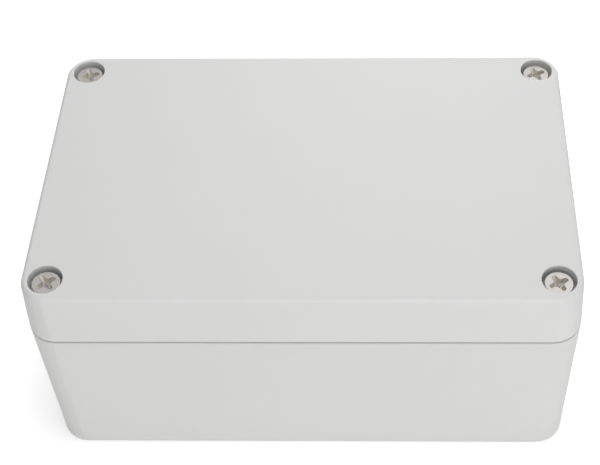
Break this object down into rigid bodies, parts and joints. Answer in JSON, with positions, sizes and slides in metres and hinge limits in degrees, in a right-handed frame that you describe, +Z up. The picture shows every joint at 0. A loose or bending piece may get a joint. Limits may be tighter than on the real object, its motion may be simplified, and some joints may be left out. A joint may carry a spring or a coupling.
{
  "type": "die cast aluminium enclosure box",
  "caption": "Sealed die cast aluminium box with a lift-off lid, captive corner screws in deep recesses, a gasket groove, mounting wells and an earth terminal inside.",
  "frame": {"origin": "middle of the bottom face of the box, which stands on its base", "axes": "+X along the length, to the right seen from the front; +Y from front to back; +Z up, through the lid"},
  "size_m": [0.125, 0.08, 0.057],
  "materials": {
    "casting_paint": "light grey powder coat on die cast aluminium, matt with a fine texture",
    "lid_paint": "light grey powder coat on die cast aluminium, matt with a fine texture",
    "gasket_rubber": "matt extruded silicone",
    "screw_steel": "bright stainless steel",
    "nylon": "natural nylon",
    "zinc": "zinc plated steel"
  },
  "bodies": {
    "base": {"base": "casting_paint"},
    "lid": {"lid": "lid_paint", "gasket": "gasket_rubber"},
    "retainer_front_left": {"retainer_front_left": "nylon"},
    "lid_screw_front_left": {"lid_screw_front_left": "screw_steel"},
    "retainer_front_right": {"retainer_front_right": "nylon"},
    "lid_screw_front_right": {"lid_screw_front_right": "screw_steel"},
    "retainer_back_left": {"retainer_back_left": "nylon"},
    "lid_screw_back_left": {"lid_screw_back_left": "screw_steel"},
    "retainer_back_right": {"retainer_back_right": "nylon"},
    "lid_screw_back_right": {"lid_screw_back_right": "screw_steel"},
    "earth_clamp": {"earth_clamp": "zinc", "earth_spring_washer": "zinc"},
    "earth_screw": {"earth_screw": "zinc"}
  },
  "joints": [
    {"name": "lid_lift", "type": "slide", "parent": "base", "child": "lid", "axis": [0, 0, 1], "range_m": [0, 0.06]},
    {"name": "screw_rise_front_left", "type": "slide", "parent": "lid", "child": "retainer_front_left", "axis": [0, 0, 1], "range_m": [0, 0.0064]},
    {"name": "screw_turn_front_left", "type": "hinge", "parent": "retainer_front_left", "child": "lid_screw_front_left", "pos_m": [-0.0561, -0.0334, 0.0427], "axis": [0, 0, 1], "range_deg": [0, 3293]},
    {"name": "screw_rise_front_right", "type": "slide", "parent": "lid", "child": "retainer_front_right", "axis": [0, 0, 1], "range_m": [0, 0.0064]},
    {"name": "screw_turn_front_right", "type": "hinge", "parent": "retainer_front_right", "child": "lid_screw_front_right", "pos_m": [0.0561, -0.0334, 0.0427], "axis": [0, 0, 1], "range_deg": [0, 3293]},
    {"name": "screw_rise_back_left", "type": "slide", "parent": "lid", "child": "retainer_back_left", "axis": [0, 0, 1], "range_m": [0, 0.0064]},
    {"name": "screw_turn_back_left", "type": "hinge", "parent": "retainer_back_left", "child": "lid_screw_back_left", "pos_m": [-0.0561, 0.0334, 0.0427], "axis": [0, 0, 1], "range_deg": [0, 3293]},
    {"name": "screw_rise_back_right", "type": "slide", "parent": "lid", "child": "retainer_back_right", "axis": [0, 0, 1], "range_m": [0, 0.0064]},
    {"name": "screw_turn_back_right", "type": "hinge", "parent": "retainer_back_right", "child": "lid_screw_back_right", "pos_m": [0.0561, 0.0334, 0.0427], "axis": [0, 0, 1], "range_deg": [0, 3293]},
    {"name": "earth_screw_rise", "type": "slide", "parent": "base", "child": "earth_clamp", "axis": [0, 0, 1], "range_m": [0, 0.0062]},
    {"name": "earth_screw_turn", "type": "hinge", "parent": "earth_clamp", "child": "earth_screw", "pos_m": [-0.0529, 0, 0.008], "axis": [0, 0, 1], "range_deg": [0, 3190]}
  ],
  "couplings": [
    {"joint": "screw_turn_front_left", "follows": "screw_rise_front_left", "rad_per_m": 8976},
    {"joint": "screw_turn_front_right", "follows": "screw_rise_front_right", "rad_per_m": 8976},
    {"joint": "screw_turn_back_left", "follows": "screw_rise_back_left", "rad_per_m": 8976},
    {"joint": "screw_turn_back_right", "follows": "screw_rise_back_right", "rad_per_m": 8976},
    {"joint": "earth_screw_turn", "follows": "earth_screw_rise", "rad_per_m": 8976}
  ]
}
